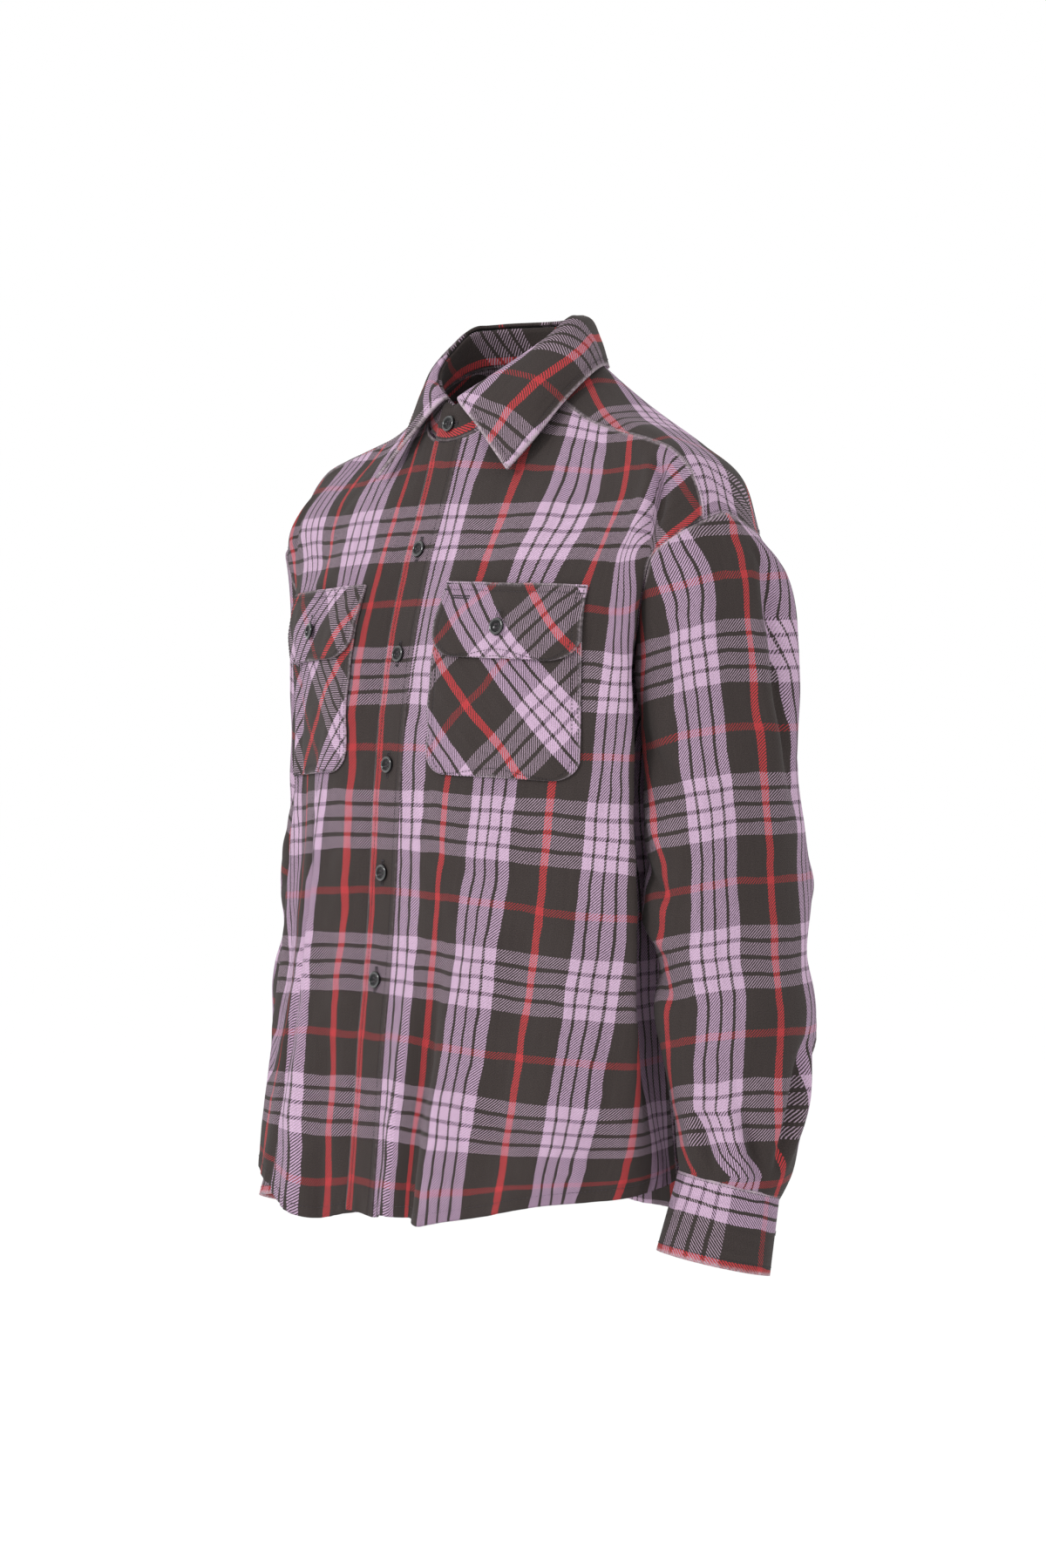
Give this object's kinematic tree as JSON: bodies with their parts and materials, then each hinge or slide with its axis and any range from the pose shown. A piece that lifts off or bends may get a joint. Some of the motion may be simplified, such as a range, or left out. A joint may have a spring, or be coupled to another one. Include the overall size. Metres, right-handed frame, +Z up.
{
  "type": "flannel shirt",
  "caption": "Long-sleeved plaid flannel work shirt in worn form, buttoned up, with a point collar, flap chest pockets and buttoned cuffs.",
  "frame": {"origin": "middle of the neck opening, where the wearer's neck and shoulders hold the shirt up", "axes": "+Z up, -Y out of the front, +X to the wearer's left"},
  "size_m": [0.581, 0.2865, 0.7097],
  "materials": {
    "flannel": "brushed twill, dark brown-grey, lilac and red plaid",
    "button": "glossy black"
  },
  "bodies": {
    "root": {"front_left": "flannel", "front_right": "flannel", "back": "flannel", "yoke": "flannel", "collar_stand": "flannel", "collar": "flannel", "front_placket": "flannel", "sleeve_left": "flannel", "sleeve_right": "flannel", "sleeve_placket_left": "flannel", "sleeve_placket_right": "flannel", "cuff_left": "flannel", "cuff_right": "flannel", "pocket_left": "flannel", "pocket_right": "flannel", "flap_left": "flannel", "flap_right": "flannel", "button_collar": "button", "button_front_1": "button", "button_front_2": "button", "button_front_3": "button", "button_front_4": "button", "button_front_5": "button", "button_pocket_left": "button", "button_pocket_right": "button", "button_cuff_left": "button", "button_cuff_right": "button"}
  },
  "joints": []
}
